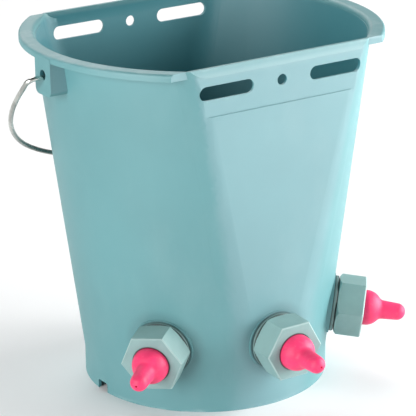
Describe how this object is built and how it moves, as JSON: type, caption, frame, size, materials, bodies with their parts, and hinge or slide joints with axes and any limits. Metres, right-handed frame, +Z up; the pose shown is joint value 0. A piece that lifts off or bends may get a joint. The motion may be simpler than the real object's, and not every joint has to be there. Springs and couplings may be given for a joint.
{
  "type": "lamb feeding bucket",
  "caption": "Tapered feeding bucket with flat slotted hanging sides, a wire bail and screwed-in rubber teats with ball valves.",
  "frame": {"origin": "middle of the foot circle, on the ground", "axes": "+Z up; X from lug to lug; +Y towards the side that hangs on a hurdle, with the teats towards -Y"},
  "size_m": [0.33, 0.2867, 0.3],
  "materials": {
    "bucket": "satin moulded polypropylene",
    "fittings": "satin moulded polypropylene",
    "teat_rubber": "smooth soft rubber",
    "seal": "plain rubber",
    "valve_white": "smooth",
    "wire": "bright zinc-plated wire"
  },
  "bodies": {
    "bucket": {"bucket_body": "bucket", "valve_body_left": "fittings", "inner_seal_left": "seal", "lock_collar_left": "fittings", "hex_nut_left": "fittings", "teat_left": "teat_rubber", "ball_retainer_left": "valve_white", "valve_body_centre": "fittings", "inner_seal_centre": "seal", "lock_collar_centre": "fittings", "hex_nut_centre": "fittings", "teat_centre": "teat_rubber", "ball_retainer_centre": "valve_white", "valve_body_right": "fittings", "inner_seal_right": "seal", "lock_collar_right": "fittings", "hex_nut_right": "fittings", "teat_right": "teat_rubber", "ball_retainer_right": "valve_white"},
    "bail": {"bail_wire": "wire"},
    "ball_left": {"valve_ball_left": "valve_white"},
    "ball_centre": {"valve_ball_centre": "valve_white"},
    "ball_right": {"valve_ball_right": "valve_white"}
  },
  "joints": [
    {"name": "bail_hinge", "type": "hinge", "parent": "bucket", "child": "bail", "pos_m": [0, 0, 0.2805], "axis": [1, 0, 0], "range_deg": [0, 269.94]},
    {"name": "ball_float_left", "type": "slide", "parent": "bucket", "child": "ball_left", "axis": [0.7817, 0.6107, 0.1262], "range_m": [0, 0.0027]},
    {"name": "ball_float_centre", "type": "slide", "parent": "bucket", "child": "ball_centre", "axis": [0, 0.9991, 0.043], "range_m": [0, 0.0027]},
    {"name": "ball_float_right", "type": "slide", "parent": "bucket", "child": "ball_right", "axis": [-0.7817, 0.6107, 0.1262], "range_m": [0, 0.0027]}
  ]
}
